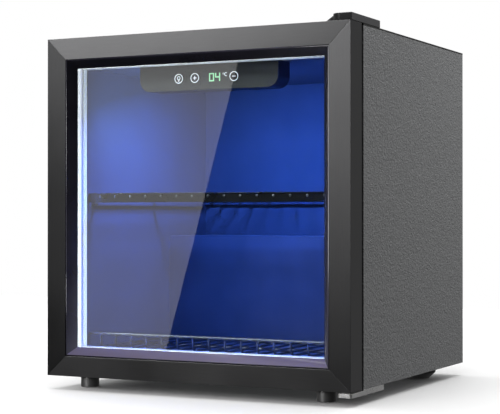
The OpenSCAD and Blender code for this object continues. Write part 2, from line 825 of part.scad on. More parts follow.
module door_bezel() {
  w = 2 * open_x;
  h = open_top_z - open_z;
  color("midnightblue") union() {
    translate([0, 0, open_z]) bevel_bar(w);
    translate([0, 0, open_top_z]) mirror([0, 0, 1]) bevel_bar(w);
    translate([-open_x, 0, open_z + h / 2]) rotate([0, 90, 0]) bevel_bar(h);
    translate([open_x, 0, open_z + h / 2]) rotate([0, -90, 0]) bevel_bar(h);
  }
}

module pane(y) {
  color("lightcyan", 0.4) slab([-pane_x, y, pane_z], [pane_x, y + pane_t, pane_top_z]);
}

module glass_outer() pane(glass_y);

module glass_inner() pane(inner_pane_y);

module glass_spacer() {
  color("silver") ring(pane_x, pane_z, pane_top_z, bevel_w - edge_seal_w, glass_y + pane_t, inner_pane_y);
}

// Frame that holds the panes from behind
module door_inner_frame() {
  color("silver") union() {
    ring(open_x, open_z, open_top_z, bevel_w, pane_back_y, door_back_y);
    ring(open_x, open_z, open_top_z, edge_seal_w, glass_y, pane_back_y);
  }
}

module door_gasket() {
  inset = side_x - gasket_x;
  color("black") ring(gasket_x, door_z + inset, door_top_z - inset, gasket_w, door_back_y, gasket_end_y);
}

side_panel_left();
side_panel_right();
top_panel();
back_panel();
base_pan();
niche_wall();
niche_roof();
insulation_foam();
inner_liner();
throat_trim();
evaporator_plate();
evaporator_coil();
control_housing();
control_fascia();
display_digits();
circuit_boards();
lamp_diffuser();
temperature_probe();
upper_shelf_wires();
upper_shelf_rail();
lower_rack_wires();
lower_rack_front();
top_hinge_plate();
top_hinge_screws();
top_hinge_cover();
bottom_hinge_plate();
bottom_hinge_screws();
foot_inserts();
rear_feet();
compressor_tray();
compressor_mounts();
compressor_shell();
compressor_relay_box();
discharge_pipe();
suction_pipe();
filter_drier();
capillary_tube();
condenser_coil();
condenser_wires();
condenser_brackets();
drip_tray();
drain_tube();
power_inlet();
door_top_rail();
door_bottom_rail();
door_stile_latch();
door_stile_hinge();
corner_keys();
door_bezel();
glass_outer();
glass_inner();
glass_spacer();
door_inner_frame();
door_gasket();
hinge_bushes();
button_light();
button_plus();
button_minus();
foot_left();
foot_right();
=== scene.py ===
import bpy
import bmesh
import math
from mathutils import Vector, Matrix


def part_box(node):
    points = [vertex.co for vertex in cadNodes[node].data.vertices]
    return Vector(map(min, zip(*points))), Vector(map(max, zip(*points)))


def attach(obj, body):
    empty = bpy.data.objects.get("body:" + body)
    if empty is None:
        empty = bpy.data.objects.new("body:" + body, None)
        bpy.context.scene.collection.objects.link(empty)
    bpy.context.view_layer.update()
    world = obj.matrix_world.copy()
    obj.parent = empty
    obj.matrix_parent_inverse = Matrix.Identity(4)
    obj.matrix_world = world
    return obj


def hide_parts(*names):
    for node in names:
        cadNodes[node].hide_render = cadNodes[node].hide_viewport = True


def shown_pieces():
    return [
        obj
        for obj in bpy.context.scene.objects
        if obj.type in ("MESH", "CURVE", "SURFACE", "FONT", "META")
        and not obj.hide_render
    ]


# A glass-door mini fridge on a pale floor.
# The parts come from the frame; this script gives them finishes and the small pieces that dress them.

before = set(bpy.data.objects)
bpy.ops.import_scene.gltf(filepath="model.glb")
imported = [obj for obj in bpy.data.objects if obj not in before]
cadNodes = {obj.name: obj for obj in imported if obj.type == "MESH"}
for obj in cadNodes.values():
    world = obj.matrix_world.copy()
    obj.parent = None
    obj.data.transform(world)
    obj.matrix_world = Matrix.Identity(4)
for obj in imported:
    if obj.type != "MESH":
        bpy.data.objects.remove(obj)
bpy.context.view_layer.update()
scene = bpy.context.scene
mm = 0.001
touching = 0.000005      # points closer than this are one point
print("frame loaded,", len(cadNodes), "parts")


# Shader helpers

def newMaterial(name):
    mat = bpy.data.materials.new(name)
    mat.use_nodes = True
    tree = mat.node_tree
    tree.nodes.clear()
    out = tree.nodes.new("ShaderNodeOutputMaterial")
    skin = tree.nodes.new("ShaderNodeBsdfPrincipled")
    tree.links.new(skin.outputs[0], out.inputs[0])
    return mat, tree, skin


def setSockets(node, values):
    for key, value in values.items():
        node.inputs[key].default_value = value


def addNode(tree, kind, props=None, sockets=None):
    node = tree.nodes.new(kind)
    for key, value in (props or {}).items():
        setattr(node, key, value)
    setSockets(node, sockets or {})
    return node


def stretched(tree, scale):
    # object coordinates, in metres, stretched so that a texture of scale 1 has this many cells a metre
    place = addNode(tree, "ShaderNodeTexCoord")
    mapping = addNode(tree, "ShaderNodeMapping")
    mapping.inputs["Scale"].default_value = scale
    tree.links.new(place.outputs["Object"], mapping.inputs["Vector"])
    return mapping.outputs["Vector"]


def noiseOf(tree, vector, detail=2.0, rough=0.5):
    noise = addNode(tree, "ShaderNodeTexNoise", sockets={"Scale": 1.0, "Detail": detail, "Roughness": rough})
    tree.links.new(vector, noise.inputs["Vector"])
    return noise.outputs["Fac"]


def cellsOf(tree, vector, feature="F1"):
    cells = addNode(tree, "ShaderNodeTexVoronoi", {"feature": feature}, {"Scale": 1.0})
    tree.links.new(vector, cells.inputs["Vector"])
    return cells.outputs["Distance"]


def spread(tree, value, low, high, fromLow=0.3, fromHigh=0.7):
    ranged = addNode(tree, "ShaderNodeMapRange", {"clamp": True},
                     {"From Min": fromLow, "From Max": fromHigh, "To Min": low, "To Max": high})
    tree.links.new(value, ranged.inputs["Value"])
    return ranged.outputs["Result"]


def tinted(tree, value, dark, light):
    mix = addNode(tree, "ShaderNodeMix", {"data_type": "RGBA"})
    mix.inputs["A"].default_value = (*dark, 1)
    mix.inputs["B"].default_value = (*light, 1)
    tree.links.new(value, mix.inputs["Factor"])
    return mix.outputs["Result"]


def bumpOf(tree, height, strength, distance, before=None):
    bump = addNode(tree, "ShaderNodeBump", sockets={"Strength": strength, "Distance": distance})
    tree.links.new(height, bump.inputs["Height"])
    if before is not None:
        tree.links.new(before, bump.inputs["Normal"])
    return bump.outputs["Normal"]


# Finishes

def brushedMetal(name, look):
    # very fine hairlines along one axis, with the sheen spread across them
    mat, tree, skin = newMaterial(name)
    along = look["along"]
    fine = [look["hairs"]] * 3
    fine[along] = look["hairLength"]
    hairs = noiseOf(tree, stretched(tree, fine), 2.0, 0.6)
    cloud = noiseOf(tree, stretched(tree, (9, 9, 9)), 2.0)
    tone = tinted(tree, spread(tree, hairs, 0, 1), look["dark"], look["light"])
    tree.links.new(tone, skin.inputs["Base Color"])
    tree.links.new(spread(tree, cloud, look["rough"] - 0.03, look["rough"] + 0.04), skin.inputs["Roughness"])
    tree.links.new(bumpOf(tree, hairs, look["bump"], 0.00004), skin.inputs["Normal"])
    setSockets(skin, {"Metallic": look["metal"], "Anisotropic": look["stretch"]})
    way = addNode(tree, "ShaderNodeCombineXYZ", sockets={"X": 0.7, "Y": 0.7, "Z": 0.7})
    way.inputs[along].default_value = 0.0
    tree.links.new(way.outputs[0], skin.inputs["Tangent"])
    return mat


def grainedPaint(name, look):
    # paint pressed like leather: long wavy wrinkles, small cells between them and an orange peel
    mat, tree, skin = newMaterial(name)
    across, up = look["wrinkles"]
    wrinkles = addNode(tree, "ShaderNodeTexNoise", sockets={"Scale": 1.0, "Detail": 2.5, "Distortion": 1.1})
    tree.links.new(stretched(tree, (across, across, up)), wrinkles.inputs["Vector"])
    cells = cellsOf(tree, stretched(tree, (across * 1.6, across * 1.6, up * 2.0)), "SMOOTH_F1")
    peel = noiseOf(tree, stretched(tree, (across * 4,) * 3), 3.0)
    patches = noiseOf(tree, stretched(tree, (14, 14, 14)), 3.0)
    tone = tinted(tree, spread(tree, wrinkles.outputs["Fac"], 0, 1), look["dark"], look["light"])
    tree.links.new(tone, skin.inputs["Base Color"])
    rough = spread(tree, patches, look["rough"] - 0.02, look["rough"] + 0.02)
    tree.links.new(rough, skin.inputs["Roughness"])
    folds = bumpOf(tree, wrinkles.outputs["Fac"], look["bump"], look["depth"])
    creases = bumpOf(tree, cells, look["bump"] * 0.4, look["depth"] * 0.4, folds)
    tree.links.new(bumpOf(tree, peel, look["bump"] * 0.4, 0.0002, creases), skin.inputs["Normal"])
    setSockets(skin, {"Specular IOR Level": look["gloss"]})
    return mat


def mouldedPlastic(name, look):
    # spark-eroded mould texture with a little unevenness in its sheen
    mat, tree, skin = newMaterial(name)
    pits = noiseOf(tree, stretched(tree, (look["pits"],) * 3), 3.0)
    cloud = noiseOf(tree, stretched(tree, (25, 25, 25)), 3.0)
    tone = tinted(tree, spread(tree, cloud, 0, 1), look["dark"], look["light"])
    if "upwardPaintedSheen" in look:
        # painted light: faces that look up carry a paler purple sheen, standing in for light caught by the
        # lower bezel
        facing = addNode(tree, "ShaderNodeNewGeometry")
        axes = addNode(tree, "ShaderNodeSeparateXYZ")
        tree.links.new(facing.outputs["True Normal"], axes.inputs[0])
        paintedSheen = addNode(tree, "ShaderNodeMix", {"data_type": "RGBA"})
        paintedSheen.inputs["B"].default_value = (*look["upwardPaintedSheen"], 1)
        tree.links.new(spread(tree, axes.outputs["Z"], 0, 1, *look["paintedSheenRange"]), paintedSheen.inputs["Factor"])
        tree.links.new(tone, paintedSheen.inputs["A"])
        tone = paintedSheen.outputs["Result"]
    tree.links.new(tone, skin.inputs["Base Color"])
    patchy = look.get("patchy", 0.05)
    rough = spread(tree, cloud, look["rough"] - patchy, look["rough"] + patchy)
    tree.links.new(rough, skin.inputs["Roughness"])
    tree.links.new(bumpOf(tree, pits, look["bump"], 0.0001), skin.inputs["Normal"])
    setSockets(skin, {"Specular IOR Level": look.get("gloss", 0.5), "Coat Weight": look.get("coat", 0.0)})
    return mat


def plainMetal(name, look):
    # bare or plated metal with soft blotches and scuffs
    mat, tree, skin = newMaterial(name)
    blotch = noiseOf(tree, stretched(tree, (look["blotch"],) * 3), 4.0, 0.6)
    scuffs = noiseOf(tree, stretched(tree, (700, 120, 700)), 2.0)
    tone = tinted(tree, spread(tree, blotch, 0, 1), look["dark"], look["light"])
    tree.links.new(tone, skin.inputs["Base Color"])
    tree.links.new(spread(tree, scuffs, look["rough"] - 0.05, look["rough"] + 0.08), skin.inputs["Roughness"])
    tree.links.new(bumpOf(tree, scuffs, look["bump"], 0.00008), skin.inputs["Normal"])
    setSockets(skin, {"Metallic": look.get("metal", 1.0)})
    return mat


def spangledSteel(name, look):
    # hot-dip zinc: flat crystals of different tones
    mat, tree, skin = newMaterial(name)
    crystals = addNode(tree, "ShaderNodeTexVoronoi", {"feature": "F1"}, {"Scale": 1.0})
    tree.links.new(stretched(tree, (look["crystals"],) * 3), crystals.inputs["Vector"])
    split = addNode(tree, "ShaderNodeSeparateColor")
    tree.links.new(crystals.outputs["Color"], split.inputs[0])
    tone = tinted(tree, split.outputs[0], look["dark"], look["light"])
    tree.links.new(tone, skin.inputs["Base Color"])
    tree.links.new(spread(tree, split.outputs[1], look["rough"] - 0.08, look["rough"] + 0.1, 0, 1),
                   skin.inputs["Roughness"])
    setSockets(skin, {"Metallic": 1.0})
    return mat


def clearPane(name, look):
    # a thin pane: it lets light straight through, and mirrors by angle only where light enters it
    mat, tree, skin = newMaterial(name)
    smears = noiseOf(tree, stretched(tree, (5, 5, 5)), 3.0)
    setSockets(skin, {"Metallic": 1.0, "Base Color": (1, 1, 1, 1)})
    tree.links.new(spread(tree, smears, look["rough"], look["rough"] + 0.015), skin.inputs["Roughness"])
    through = addNode(tree, "ShaderNodeBsdfTransparent", sockets={"Color": (*look["tint"], 1)})
    angle = addNode(tree, "ShaderNodeFresnel", sockets={"IOR": look["ior"]})
    side = addNode(tree, "ShaderNodeNewGeometry")
    front = addNode(tree, "ShaderNodeMath", {"operation": "SUBTRACT"})
    front.inputs[0].default_value = 1.0
    tree.links.new(side.outputs["Backfacing"], front.inputs[1])
    share = addNode(tree, "ShaderNodeMath", {"operation": "MULTIPLY"})
    tree.links.new(angle.outputs[0], share.inputs[0])
    tree.links.new(front.outputs[0], share.inputs[1])
    blend = addNode(tree, "ShaderNodeMixShader")
    tree.links.new(share.outputs[0], blend.inputs[0])
    tree.links.new(through.outputs[0], blend.inputs[1])
    tree.links.new(skin.outputs[0], blend.inputs[2])
    out = [n for n in tree.nodes if n.type == "OUTPUT_MATERIAL"][0]
    tree.links.new(blend.outputs[0], out.inputs[0])
    return mat


def glowing(name, look):
    mat, tree, skin = newMaterial(name)
    haze = noiseOf(tree, stretched(tree, (60, 60, 60)), 2.0)
    tone = tinted(tree, spread(tree, haze, 0, 1), look["dark"], look["light"])
    tree.links.new(tone, skin.inputs["Base Color"])
    tree.links.new(tone, skin.inputs["Emission Color"])
    setSockets(skin, {"Emission Strength": look["glow"], "Roughness": 0.35})
    return mat


doorMetal = {"hairs": 5200, "hairLength": 30, "dark": (0.15, 0.15, 0.152), "light": (0.18, 0.18, 0.184),
             "rough": 0.36, "bump": 0.08, "stretch": 0.35, "metal": 1.0}
brushedX = brushedMetal("doorBrushedAcross", {**doorMetal, "along": 0})
brushedZ = brushedMetal("doorBrushedUp", {**doorMetal, "along": 2})
# the latch stile is a darker copy of the door metal: painted shade
brushedLatchShaded = brushedMetal("doorBrushedLatchPaintedShade", {**doorMetal, "along": 2, "dark": (0.1, 0.1, 0.102),
                                                 "light": (0.12, 0.12, 0.123)})
casePaint = grainedPaint("caseGrainedPaint", {
    "wrinkles": (250, 260), "dark": (0.056, 0.057, 0.058), "light": (0.078, 0.079, 0.08),
    "rough": 0.38, "bump": 1.0, "depth": 0.0017, "gloss": 0.5})
topPaint = grainedPaint("topPanelPaint", {
    "wrinkles": (430, 430), "dark": (0.006, 0.006, 0.006), "light": (0.011, 0.011, 0.011),
    "rough": 0.5, "bump": 0.4, "depth": 0.0006, "gloss": 0.3})
blackPlastic = mouldedPlastic("blackMouldedPlastic", {
    "pits": 2400, "dark": (0.008, 0.008, 0.009), "light": (0.016, 0.016, 0.017), "rough": 0.42, "bump": 0.25})
fasciaPlastic = mouldedPlastic("fasciaPlastic", {
    "pits": 3000, "dark": (0.05, 0.05, 0.052), "light": (0.062, 0.062, 0.064), "rough": 0.5, "bump": 0.12})
# the bezel's upward faces get a painted sheen, paler and purple
bezelGloss = mouldedPlastic("bezelGlossPlastic", {
    "pits": 500, "dark": (0.02, 0.019, 0.031), "light": (0.027, 0.026, 0.04), "rough": 0.2, "bump": 0.02,
    "gloss": 0.6, "coat": 0.5, "upwardPaintedSheen": (0.14, 0.115, 0.16), "paintedSheenRange": (0.45, 0.7)})
linerGloss = mouldedPlastic("linerPlastic", {
    "pits": 900, "dark": (0.07, 0.075, 0.085), "light": (0.085, 0.09, 0.1), "rough": 0.3, "bump": 0.04,
    "gloss": 0.45, "patchy": 0.015})
whitePlastic = mouldedPlastic("whitePlastic", {
    "pits": 1800, "dark": (0.7, 0.7, 0.68), "light": (0.78, 0.78, 0.76), "rough": 0.45, "bump": 0.1})
# the feet are paler than the other black plastic: a painted highlight for feet standing in shade
footPlasticPaintedLight = mouldedPlastic("footPlasticPaintedLight", {
    "pits": 1400, "dark": (0.03, 0.03, 0.03), "light": (0.045, 0.045, 0.046), "rough": 0.4, "bump": 0.2})
coverPlastic = mouldedPlastic("coverPlastic", {
    "pits": 900, "dark": (0.016, 0.016, 0.017), "light": (0.022, 0.022, 0.023), "rough": 0.24, "bump": 0.06,
    "gloss": 0.6, "coat": 0.4})
rubberBlack = mouldedPlastic("blackRubber", {
    "pits": 1500, "dark": (0.009, 0.009, 0.009), "light": (0.016, 0.016, 0.016), "rough": 0.72, "bump": 0.3,
    "gloss": 0.3})
foamYellow = mouldedPlastic("insulatingFoam", {
    "pits": 900, "dark": (0.6, 0.47, 0.2), "light": (0.75, 0.62, 0.33), "rough": 0.9, "bump": 0.8,
    "gloss": 0.2})
boardGreen = mouldedPlastic("circuitBoard", {
    "pits": 700, "dark": (0.01, 0.06, 0.03), "light": (0.02, 0.1, 0.05), "rough": 0.35, "bump": 0.2})
enamelBlack = mouldedPlastic("blackEnamel", {
    "pits": 260, "dark": (0.006, 0.006, 0.006), "light": (0.012, 0.012, 0.012), "rough": 0.26, "bump": 0.12,
    "coat": 0.3})
zincSheet = spangledSteel("zincSheet", {
    "crystals": 160, "dark": (0.42, 0.43, 0.44), "light": (0.62, 0.63, 0.64), "rough": 0.4})
hingeSteel = plainMetal("hingeSteel", {
    "blotch": 60, "dark": (0.62, 0.62, 0.62), "light": (0.8, 0.8, 0.79), "rough": 0.3, "bump": 0.04,
    "metal": 0.6})
platedSteel = plainMetal("platedSteel", {
    "blotch": 30, "dark": (0.55, 0.55, 0.55), "light": (0.68, 0.68, 0.67), "rough": 0.3, "bump": 0.0,
    "metal": 0.9})
spacerAluminium = plainMetal("spacerAluminium", {
    "blotch": 40, "dark": (0.66, 0.67, 0.7), "light": (0.8, 0.81, 0.83), "rough": 0.34, "bump": 0.03})
frameSatin = mouldedPlastic("frameSatin", {
    "pits": 600, "dark": (0.72, 0.74, 0.78), "light": (0.8, 0.82, 0.86), "rough": 0.3, "bump": 0.03,
    "patchy": 0.02})
copperTube = plainMetal("copperTube", {
    "blotch": 130, "dark": (0.42, 0.17, 0.09), "light": (0.78, 0.4, 0.26), "rough": 0.32, "bump": 0.2})
brassInsert = plainMetal("brassInsert", {
    "blotch": 90, "dark": (0.5, 0.36, 0.12), "light": (0.7, 0.54, 0.22), "rough": 0.3, "bump": 0.1})
shelfWire = plainMetal("shelfWire", {
    "blotch": 120, "dark": (0.2, 0.21, 0.24), "light": (0.3, 0.31, 0.34), "rough": 0.38, "bump": 0.02})
railPaint = mouldedPlastic("shelfRailPaint", {
    "pits": 1200, "dark": (0.012, 0.013, 0.018), "light": (0.022, 0.023, 0.03), "rough": 0.3, "bump": 0.1,
    "coat": 0.3})
glassOuter = clearPane("outerGlass", {"rough": 0.0, "ior": 1.52, "tint": (0.95, 0.97, 0.975)})
glassInner = clearPane("innerGlass", {"rough": 0.0, "ior": 1.12, "tint": (0.95, 0.97, 0.975)})
digitGlow = glowing("digitGlow", {"dark": (0.42, 0.86, 0.48), "light": (0.55, 0.95, 0.6), "glow": 0.95})
lampGlow = glowing("lampGlow", {"dark": (0.03, 0.12, 1.0), "light": (0.1, 0.22, 1.0), "glow": 5.0})
# the printed key marks and degree sign glow though they are no lamp: painted brightness
printWhitePaintedGlow = glowing("keyMarksPaintedGlow", {"dark": (0.85, 0.87, 0.9), "light": (0.95, 0.96, 1.0), "glow": 0.95})
print("finishes made:", len(bpy.data.materials))


# Which finish goes on which part
finishOf = {
    brushedX: ["door_top_rail", "door_bottom_rail"],
    brushedZ: ["door_stile_hinge"],
    brushedLatchShaded: ["door_stile_latch"],
    casePaint: ["side_panel_left", "side_panel_right"],
    topPaint: ["top_panel"],
    zincSheet: ["back_panel", "base_pan", "niche_wall", "niche_roof", "compressor_tray"],
    foamYellow: ["insulation_foam"],
    linerGloss: ["inner_liner"],
    blackPlastic: ["throat_trim", "control_housing", "rear_feet",
                   "compressor_relay_box", "power_inlet", "drip_tray"],
    spacerAluminium: ["evaporator_plate", "corner_keys"],
    frameSatin: ["door_inner_frame", "glass_spacer"],
    copperTube: ["evaporator_coil", "suction_pipe", "discharge_pipe", "filter_drier", "capillary_tube"],
    fasciaPlastic: ["control_fascia", "button_light", "button_plus", "button_minus"],
    digitGlow: ["display_digits"],
    boardGreen: ["circuit_boards"],
    lampGlow: ["lamp_diffuser"],
    footPlasticPaintedLight: ["foot_left", "foot_right"],
    coverPlastic: ["top_hinge_cover"],
    whitePlastic: ["drain_tube", "hinge_bushes", "temperature_probe"],
    shelfWire: ["upper_shelf_wires", "lower_rack_wires", "lower_rack_front"],
    railPaint: ["upper_shelf_rail"],
    platedSteel: ["bottom_hinge_plate"],
    hingeSteel: ["top_hinge_plate", "top_hinge_screws", "bottom_hinge_screws"],
    brassInsert: ["foot_inserts"],
    rubberBlack: ["compressor_mounts", "door_gasket"],
    enamelBlack: ["compressor_shell", "condenser_coil", "condenser_wires", "condenser_brackets"],
    bezelGloss: ["door_bezel"],
    glassOuter: ["glass_outer"],
    glassInner: ["glass_inner"],
}
for finish, names in finishOf.items():
    for name in names:
        slots = cadNodes[name].data.materials
        slots.clear()
        slots.append(finish)

# Sheared and moulded edges catch light, so they get a small radius, in mm
edgeRadius = {
    "door_top_rail": 0.3, "door_bottom_rail": 0.3, "door_stile_latch": 0.3, "door_stile_hinge": 0.3,
    "side_panel_left": 0.9, "side_panel_right": 0.9,
    "top_hinge_cover": 1.1, "bottom_hinge_plate": 0.6, "top_hinge_plate": 0.4, "top_panel": 0.8,
    "control_housing": 0.6, "control_fascia": 0.5, "button_light": 0.5, "button_plus": 0.5,
    "button_minus": 0.5, "throat_trim": 0.6, "upper_shelf_rail": 0.5, "rear_feet": 1.2,
    "compressor_relay_box": 2.0, "drip_tray": 0.6, "power_inlet": 0.6, "compressor_tray": 0.4,
    "condenser_brackets": 0.5, "lamp_diffuser": 0.6,
    "door_inner_frame": 0.4, "foot_left": 0.8, "foot_right": 0.8, "inner_liner": 0.8, "compressor_shell": 0.5,
    "compressor_mounts": 0.8, "filter_drier": 1.0,
}


softening = {"weld": 0.00001, "flat": 0.5, "sharp": 32, "segments": 3, "weight": 80}


def softenEdges(part, radius):
    mesh = part.data
    if "custom_normal" in mesh.attributes:
        mesh.attributes.remove(mesh.attributes["custom_normal"])
    for face in mesh.polygons:
        face.use_smooth = True
    weld = part.modifiers.new("weld", "WELD")
    weld.merge_threshold = softening["weld"]
    if radius:
        dissolve = part.modifiers.new("flats", "DECIMATE")
        dissolve.decimate_type = "DISSOLVE"
        dissolve.angle_limit = math.radians(softening["flat"])
        bevel = part.modifiers.new("edges", "BEVEL")
        bevel.width = radius * mm
        bevel.segments = softening["segments"]
        bevel.limit_method = "ANGLE"
        bevel.angle_limit = math.radians(softening["sharp"])
    normals = part.modifiers.new("normals", "WEIGHTED_NORMAL")
    normals.weight = softening["weight"]


for name, part in cadNodes.items():
    softenEdges(part, edgeRadius.get(name, 0))
print("edges softened")


# Small pieces

def newPiece(name, bm, finish, body, replaced=()):
    mesh = bpy.data.meshes.new(name)
    bmesh.ops.remove_doubles(bm, verts=bm.verts, dist=touching)
    bmesh.ops.recalc_face_normals(bm, faces=bm.faces)
    bm.to_mesh(mesh)
    bm.free()
    mesh.materials.append(finish)
    for face in mesh.polygons:
        face.use_smooth = True
    piece = bpy.data.objects.new(name, mesh)
    scene.collection.objects.link(piece)
    split = piece.modifiers.new("normals", "WEIGHTED_NORMAL")
    split.weight = softening["weight"]
    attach(piece, body)
    if replaced:
        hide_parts(*replaced)
    return piece


def latheInto(bm, profile, place, turn, steps=48, sweep=360):
    # turns (radius, height) points round local Z
    whole = sweep == 360
    count = steps if whole else steps + 1
    rings = []
    for radius, height in profile:
        ring = []
        for i in range(count):
            angle = math.radians(sweep) * i / steps
            spot = Vector((radius * math.cos(angle), radius * math.sin(angle), height)) * mm
            ring.append(bm.verts.new(Vector(place) + turn @ spot))
        rings.append(ring)
    for low, high in zip(rings, rings[1:]):
        for i in range(steps):
            j = (i + 1) % count
            bm.faces.new((low[i], low[j], high[j], high[i]))
    if not whole:
        for i in (0, -1):
            bm.faces.new([ring[i] for ring in rings[:-1]])


def barInto(bm, low, high, edge):
    # a bar with rounded edges between two corners
    made = bmesh.ops.create_cube(bm, size=1)
    size = Vector(high) - Vector(low)
    middle = (Vector(high) + Vector(low)) / 2
    for vert in made["verts"]:
        vert.co = Vector(a * b for a, b in zip(vert.co, size)) + middle
    edges = list({link for vert in made["verts"] for link in vert.link_edges})
    bmesh.ops.bevel(bm, geom=edges, offset=edge * mm, segments=2, affect="EDGES", profile=0.5)


def sweepInto(bm, profile, halfX, lowZ, highZ, backY):
    # a section carried round a rectangle with mitred corners; points are (inset, depth) in mm
    rings = []
    for inset, depth in profile:
        x = halfX - inset * mm
        z0 = lowZ + inset * mm
        z1 = highZ - inset * mm
        y = backY + depth * mm
        rings.append([bm.verts.new(spot) for spot in ((-x, y, z0), (x, y, z0), (x, y, z1), (-x, y, z1))])
    for first, second in zip(rings, rings[1:]):
        for i in range(4):
            j = (i + 1) % 4
            bm.faces.new((first[i], first[j], second[j], second[i]))


forward = Matrix.Rotation(math.radians(90), 3, "X")
backward = Matrix.Rotation(math.radians(-90), 3, "X")

# White marks printed on the keys; they glow, a painted highlight, though they are no lamp
marks = {"ring": 6.2, "stroke": 1.1, "proud": 0.15, "sunk": 0.1, "edge": 0.04, "arm": 2.5,
         "bulb": 2.5, "bulbStroke": 0.95, "bulbRise": 0.7, "caps": [(1.3, 0.45, -2.3), (0.9, 0.35, -3.4)]}


def markKey(node, body, drawing):
    low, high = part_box(node)
    middle = (low + high) / 2
    face = low.y - marks["proud"] * mm
    centre = Vector((middle.x, low.y, middle.z))
    outer = marks["ring"]
    inner = outer - marks["stroke"]
    bm = bmesh.new()
    top = marks["proud"]
    low = -marks["sunk"]
    edge = marks["edge"]
    ringSection = [(inner, low), (outer, low), (outer, top - edge), (outer - 2 * edge, top),
                   (inner + 2 * edge, top), (inner, top - edge), (inner, low)]
    latheInto(bm, ringSection, centre, forward, 72)
    drawing(bm, centre, face)
    return newPiece(node + "_marks", bm, printWhitePaintedGlow, body)


def flatRing(inner, outer):
    low = -marks["sunk"]
    high = marks["proud"]
    return [(inner, low), (outer, low), (outer, high), (inner, high), (inner, low)]


def drawBar(bm, centre, face, halfWide, halfTall, dz=0.0):
    low = (centre.x - halfWide * mm, face, centre.z + (dz - halfTall) * mm)
    high = (centre.x + halfWide * mm, centre.y + marks["sunk"] * mm, centre.z + (dz + halfTall) * mm)
    barInto(bm, low, high, marks["edge"])


def drawPlus(bm, centre, face):
    half = marks["stroke"] / 2
    drawBar(bm, centre, face, marks["arm"], half)
    drawBar(bm, centre, face, half, marks["arm"])


def drawMinus(bm, centre, face):
    drawBar(bm, centre, face, marks["arm"], marks["stroke"] / 2)


def drawBulb(bm, centre, face):
    outer = marks["bulb"]
    section = flatRing(outer - marks["bulbStroke"], outer)
    latheInto(bm, section, centre + Vector((0, 0, marks["bulbRise"] * mm)), forward, 40)
    for halfWide, halfTall, drop in marks["caps"]:
        drawBar(bm, centre, face, halfWide, halfTall, drop)


markKey("button_light", "light_button", drawBulb)
markKey("button_plus", "plus_button", drawPlus)
markKey("button_minus", "minus_button", drawMinus)

# Degree sign and letter beside the digits
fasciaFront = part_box("control_fascia")[0].y
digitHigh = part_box("display_digits")[1]
degree = {"right": 4.6, "ring": 1.1, "ringStroke": 0.45, "letter": 2.4, "letterStroke": 0.85, "gap": 3.7,
          "drop": 2.3, "rise": 0.9, "turn": 50, "sweep": 260}
bm = bmesh.new()
signAt = Vector((digitHigh.x + degree["right"] * mm, fasciaFront, digitHigh.z - degree["drop"] * mm))
ringSection = flatRing(degree["ring"] - degree["ringStroke"], degree["ring"])
latheInto(bm, ringSection, signAt + Vector((0, 0, degree["rise"] * mm)), forward, 32)
letterSection = flatRing(degree["letter"] - degree["letterStroke"], degree["letter"])
openToRight = forward @ Matrix.Rotation(math.radians(degree["turn"]), 3, "Z")
latheInto(bm, letterSection, signAt + Vector((degree["gap"] * mm, 0, 0)), openToRight, 32, degree["sweep"])
newPiece("degree_sign", bm, printWhitePaintedGlow, "cabinet")

# Bead along the shelf rail and the welded ends of its wires
railLow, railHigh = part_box("upper_shelf_rail")
bead = {"tall": 1.8, "proud": 0.9, "side": 0.5, "lip": 0.3, "edge": 0.6, "sunk": 0.4,
        "dome": 1.9, "domeTall": 0.7, "domeSunk": 0.2, "pitch": 23.1, "count": 15, "drop": 4.3}
bm = bmesh.new()
beadLow = (railLow.x + bead["side"] * mm, railLow.y - bead["proud"] * mm, railHigh.z - bead["tall"] * mm)
beadHigh = (railHigh.x - bead["side"] * mm, railLow.y + bead["sunk"] * mm, railHigh.z + bead["lip"] * mm)
barInto(bm, beadLow, beadHigh, bead["edge"])
newPiece("shelf_rail_bead", bm, railPaint, "cabinet")
bm = bmesh.new()
arc = [math.radians(a) for a in range(0, 91, 15)]
dome = [(bead["dome"] * math.cos(a), bead["domeTall"] * math.sin(a)) for a in arc]
for i in range(bead["count"]):
    x = (i - (bead["count"] - 1) / 2) * bead["pitch"] * mm
    centre = Vector((x, railLow.y - bead["domeSunk"] * mm, railHigh.z - bead["drop"] * mm))
    latheInto(bm, dome, centre, forward, 20)
newPiece("shelf_wire_ends", bm, shelfWire, "cabinet")

# Bellows gasket with mitred corners, in mm from its outer edge and from the back of the door
gasketLow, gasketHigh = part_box("door_gasket")
gasketSection = [(0.4, 0.05), (15.4, 0.05), (15.6, 0.7), (13.8, 1.5), (15.2, 2.4), (12.8, 3.2), (12.9, 4.3),
                 (12.4, 4.8), (3.6, 4.8), (3.1, 4.3), (3.2, 3.4), (1.0, 2.7), (2.4, 1.8), (0.5, 0.9),
                 (0.4, 0.05)]
bm = bmesh.new()
sweepInto(bm, gasketSection, gasketHigh.x, gasketLow.z, gasketHigh.z, gasketLow.y)
newPiece("gasket_bellows", bm, rubberBlack, "door", ["door_gasket"])

# Pan-head screws with a cross recess, round the back panel
screw = {"radius": 4.0, "tall": 2.0, "slot": 0.75, "reach": 2.4, "deep": 1.3, "floor": 0.15, "crown": 3.2,
         "rings": 16, "steps": 64, "inset": 9, "topInset": 8, "middle": 70, "sunk": 0.02,
         "shares": (0.06, 0.5, 0.94)}


def screwHeadInto(bm, place, turn, look):
    rings = []
    reach = look["radius"]
    steps = look["steps"]
    for r in [i * reach / look["rings"] for i in range(look["rings"] + 1)]:
        ring = []
        for i in range(steps):
            angle = 2 * math.pi * i / steps
            x = r * math.cos(angle)
            y = r * math.sin(angle)
            height = look["tall"] * math.sqrt(max(0.0, 1 - (r / reach) ** look["crown"]))
            inCross = min(abs(x), abs(y)) < look["slot"] and max(abs(x), abs(y)) < look["reach"]
            if inCross:
                height = max(look["floor"], height - look["deep"])
            ring.append(bm.verts.new(Vector(place) + turn @ (Vector((x, y, height)) * mm)))
        rings.append(ring)
    for low, high in zip(rings, rings[1:]):
        for i in range(steps):
            j = (i + 1) % steps
            bm.faces.new((low[i], low[j], high[j], high[i]))


